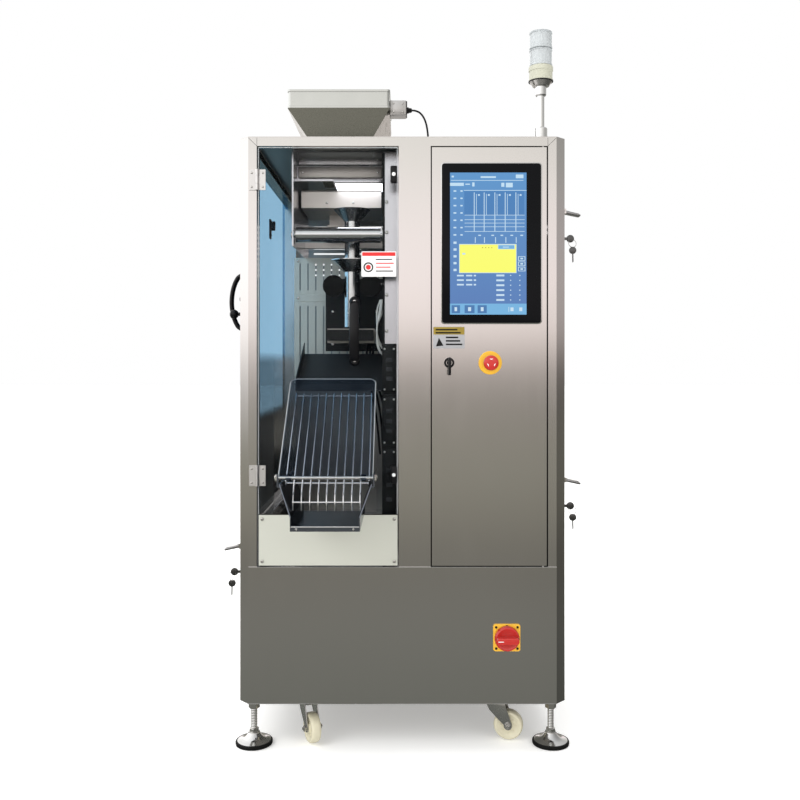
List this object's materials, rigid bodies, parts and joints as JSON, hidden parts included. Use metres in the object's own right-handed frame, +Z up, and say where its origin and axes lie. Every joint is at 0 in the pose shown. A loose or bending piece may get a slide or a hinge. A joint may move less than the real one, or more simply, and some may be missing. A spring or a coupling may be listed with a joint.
{
  "type": "vertical form fill sealer",
  "caption": "Free-standing packing machine in a stainless cabinet: roof hopper, clear door, discharge chute, touch panel, stack light, levelling feet and swivel castors.",
  "frame": {"origin": "centre of the whole outline on the floor", "axes": "+Z up, +X to the right across the front, -Y towards the operator"},
  "size_m": [0.9076, 1.097, 1.7905],
  "materials": {
    "brushed_stainless": "satin brushed stainless sheet",
    "inner_steel": "satin sheet, faintly lilac",
    "guard_steel": "dull grey sheet",
    "hinge_steel": "satin cast stainless",
    "polished_steel": "polished stainless",
    "sensor_housing": "painted cast housing",
    "cable_black": "matt black jacket",
    "bright_metal": "bright plated",
    "cream_plastic": "cream moulded plastic",
    "frosted_tiers": "clear ribbed tiers",
    "yellow_plastic": "yellow moulded plastic",
    "red_plastic": "red moulded plastic",
    "zinc": "bright zinc",
    "pan_steel": "polished pan",
    "black_machine": "black anodised and painted",
    "module_grey": "grey modules",
    "black_rubber": "rubber tyre",
    "jaw_steel": "ground steel",
    "clear_pane": "clear acrylic",
    "clear_cover": "clear acrylic with polished edges",
    "tinted_pane": "blue tinted acrylic",
    "black_plastic": "black moulded nylon",
    "apron_steel": "fine brushed sheet",
    "tray_steel": "folded sheet",
    "wire_steel": "bright wire",
    "panel_black": "black glass front with a thin metal edge",
    "ivory_nylon": "ivory nylon",
    "foot_steel": "plated steel with a rubber rim"
  },
  "bodies": {
    "cabinet": {"cabinet_frame": "brushed_stainless", "roof_sheet": "brushed_stainless", "back_sheet": "brushed_stainless", "lower_front_sheet": "brushed_stainless", "bay_partition": "inner_steel", "slatted_guard": "guard_steel", "front_hinge_leaves": "hinge_steel", "hopper": "polished_steel", "level_sensor": "sensor_housing", "sensor_cable": "cable_black", "stack_pole": "bright_metal", "stack_base": "cream_plastic", "stack_tiers": "frosted_tiers", "switch_plate": "yellow_plastic", "castor_plates": "zinc", "feeder_frame": "inner_steel", "feeder_pan": "pan_steel", "forming_set": "polished_steel", "machine_frame": "black_machine", "inner_slide": "inner_steel", "drive_modules": "module_grey"},
    "clear_door": {"front_door": "clear_pane", "front_door_leaves": "hinge_steel", "front_door_handle": "black_plastic", "apron_sheet": "apron_steel", "chute_tray": "tray_steel", "chute_slide": "wire_steel"},
    "cover": {"chute_cover": "clear_cover"},
    "electrics_door": {"control_door": "brushed_stainless", "touch_panel": "panel_black", "stop_ring": "yellow_plastic"},
    "door_key": {"control_key": "black_plastic"},
    "stop_button": {"stop_head": "red_plastic"},
    "main_switch": {"switch_knob": "red_plastic"},
    "window_door": {"left_window_door": "tinted_pane", "left_handle": "black_plastic"},
    "low_door": {"left_lower_door": "brushed_stainless"},
    "side_door": {"right_door": "brushed_stainless"},
    "latch_left": {"lever_left": "bright_metal"},
    "latch_right_upper": {"lever_right_upper": "bright_metal"},
    "latch_right_lower": {"lever_right_lower": "bright_metal"},
    "roller": {"film_roller": "polished_steel"},
    "pull_left": {"pull_wheel_left": "black_rubber"},
    "pull_right": {"pull_wheel_right": "black_rubber"},
    "long_seal": {"vertical_seal": "jaw_steel"},
    "front_jaw": {"jaw_front": "jaw_steel"},
    "rear_jaw": {"jaw_rear": "jaw_steel"},
    "knife": {"cut_knife": "bright_metal"},
    "foot_front_left": {"foot_front_left": "foot_steel"},
    "foot_front_right": {"foot_front_right": "foot_steel"},
    "foot_rear_left": {"foot_rear_left": "foot_steel"},
    "foot_rear_right": {"foot_rear_right": "foot_steel"},
    "castor_front_left": {"castor_fork_front_left": "zinc"},
    "wheel_front_left": {"castor_wheel_front_left": "ivory_nylon"},
    "castor_front_right": {"castor_fork_front_right": "zinc"},
    "wheel_front_right": {"castor_wheel_front_right": "ivory_nylon"},
    "castor_rear_left": {"castor_fork_rear_left": "zinc"},
    "wheel_rear_left": {"castor_wheel_rear_left": "ivory_nylon"},
    "castor_rear_right": {"castor_fork_rear_right": "zinc"},
    "wheel_rear_right": {"castor_wheel_rear_right": "ivory_nylon"}
  },
  "joints": [
    {"name": "clear_door_hinge", "type": "hinge", "parent": "cabinet", "child": "clear_door", "pos_m": [-0.3535, -0.3085, 1], "axis": [0, 0, -1], "range_deg": [0, 105]},
    {"name": "cover_hinge", "type": "hinge", "parent": "clear_door", "child": "cover", "pos_m": [-0.168, -0.5215, 0.698], "axis": [1, 0, 0], "range_deg": [0, 100]},
    {"name": "electrics_door_hinge", "type": "hinge", "parent": "cabinet", "child": "electrics_door", "pos_m": [0.344, -0.298, 1], "axis": [0, 0, 1], "range_deg": [0, 92]},
    {"name": "door_key_turn", "type": "hinge", "parent": "electrics_door", "child": "door_key", "pos_m": [0.114, -0.3035, 0.95], "axis": [0, 1, 0], "range_deg": [0, 90]},
    {"name": "stop_push", "type": "slide", "parent": "electrics_door", "child": "stop_button", "axis": [0, 1, 0], "range_m": [0, 0.005]},
    {"name": "main_switch_turn", "type": "hinge", "parent": "cabinet", "child": "main_switch", "pos_m": [0.254, -0.3055, 0.281], "axis": [0, 1, 0], "range_deg": [0, 90]},
    {"name": "window_door_hinge", "type": "hinge", "parent": "cabinet", "child": "window_door", "pos_m": [-0.3945, 0.4905, 1], "axis": [0, 0, -1], "range_deg": [0, 100]},
    {"name": "low_door_hinge", "type": "hinge", "parent": "cabinet", "child": "low_door", "pos_m": [-0.3945, 0.4905, 0.3], "axis": [0, 0, -1], "range_deg": [0, 100]},
    {"name": "side_door_hinge", "type": "hinge", "parent": "cabinet", "child": "side_door", "pos_m": [0.3945, 0.4905, 1], "axis": [0, 0, 1], "range_deg": [0, 100]},
    {"name": "latch_left_flip", "type": "hinge", "parent": "low_door", "child": "latch_left", "pos_m": [-0.409, -0.2035, 0.485], "axis": [0, -1, 0], "range_deg": [-12, 75]},
    {"name": "latch_right_upper_flip", "type": "hinge", "parent": "side_door", "child": "latch_right_upper", "pos_m": [0.409, -0.2035, 1.334], "axis": [0, 1, 0], "range_deg": [-12, 75]},
    {"name": "latch_right_lower_flip", "type": "hinge", "parent": "side_door", "child": "latch_right_lower", "pos_m": [0.409, -0.2035, 0.653], "axis": [0, 1, 0], "range_deg": [-12, 75]},
    {"name": "film_roller_turn", "type": "hinge", "parent": "cabinet", "child": "roller", "pos_m": [0, -0.2235, 1.273], "axis": [1, 0, 0], "continuous": true},
    {"name": "pull_left_turn", "type": "hinge", "parent": "cabinet", "child": "pull_left", "pos_m": [-0.1803, -0.1335, 1.151], "axis": [0, 1, 0], "continuous": true},
    {"name": "pull_right_turn", "type": "hinge", "parent": "cabinet", "child": "pull_right", "pos_m": [-0.0837, -0.1335, 1.151], "axis": [0, 1, 0], "continuous": true},
    {"name": "long_seal_close", "type": "slide", "parent": "cabinet", "child": "long_seal", "axis": [0, -1, 0], "range_m": [0, 0.0045]},
    {"name": "front_jaw_close", "type": "slide", "parent": "cabinet", "child": "front_jaw", "axis": [0, 1, 0], "range_m": [0, 0.0215]},
    {"name": "rear_jaw_close", "type": "slide", "parent": "cabinet", "child": "rear_jaw", "axis": [0, -1, 0], "range_m": [0, 0.0215]},
    {"name": "knife_stroke", "type": "slide", "parent": "rear_jaw", "child": "knife", "axis": [0, -1, 0], "range_m": [0, 0.016]},
    {"name": "foot_front_left_screw", "type": "slide", "parent": "cabinet", "child": "foot_front_left", "axis": [0, 0, -1], "range_m": [0, 0.025]},
    {"name": "foot_front_right_screw", "type": "slide", "parent": "cabinet", "child": "foot_front_right", "axis": [0, 0, -1], "range_m": [0, 0.025]},
    {"name": "foot_rear_left_screw", "type": "slide", "parent": "cabinet", "child": "foot_rear_left", "axis": [0, 0, -1], "range_m": [0, 0.025]},
    {"name": "foot_rear_right_screw", "type": "slide", "parent": "cabinet", "child": "foot_rear_right", "axis": [0, 0, -1], "range_m": [0, 0.025]},
    {"name": "castor_front_left_swivel", "type": "hinge", "parent": "cabinet", "child": "castor_front_left", "pos_m": [-0.238, -0.2215, 0.08], "axis": [0, 0, 1], "continuous": true},
    {"name": "wheel_front_left_roll", "type": "hinge", "parent": "castor_front_left", "child": "wheel_front_left", "pos_m": [-0.22532, -0.24869, 0.039], "axis": [0.9063, 0.4226, 0], "continuous": true},
    {"name": "castor_front_right_swivel", "type": "hinge", "parent": "cabinet", "child": "castor_front_right", "pos_m": [0.238, -0.2215, 0.08], "axis": [0, 0, 1], "continuous": true},
    {"name": "wheel_front_right_roll", "type": "hinge", "parent": "castor_front_right", "child": "wheel_front_right", "pos_m": [0.26734, -0.22774, 0.039], "axis": [0.2079, 0.9781, 0], "continuous": true},
    {"name": "castor_rear_left_swivel", "type": "hinge", "parent": "cabinet", "child": "castor_rear_left", "pos_m": [-0.238, 0.4645, 0.08], "axis": [0, 0, 1], "continuous": true},
    {"name": "wheel_rear_left_roll", "type": "hinge", "parent": "castor_rear_left", "child": "wheel_rear_left", "pos_m": [-0.21343, 0.44729, 0.039], "axis": [0.5736, 0.8192, 0], "continuous": true},
    {"name": "castor_rear_right_swivel", "type": "hinge", "parent": "cabinet", "child": "castor_rear_right", "pos_m": [0.238, 0.4645, 0.08], "axis": [0, 0, 1], "continuous": true},
    {"name": "wheel_rear_right_roll", "type": "hinge", "parent": "castor_rear_right", "child": "wheel_rear_right", "pos_m": [0.21202, 0.4495, 0.039], "axis": [0.5, -0.866, 0], "continuous": true}
  ],
  "couplings": [
    {"joint": "rear_jaw_close", "follows": "front_jaw_close", "ratio": 1},
    {"joint": "pull_right_turn", "follows": "pull_left_turn", "ratio": -1}
  ]
}
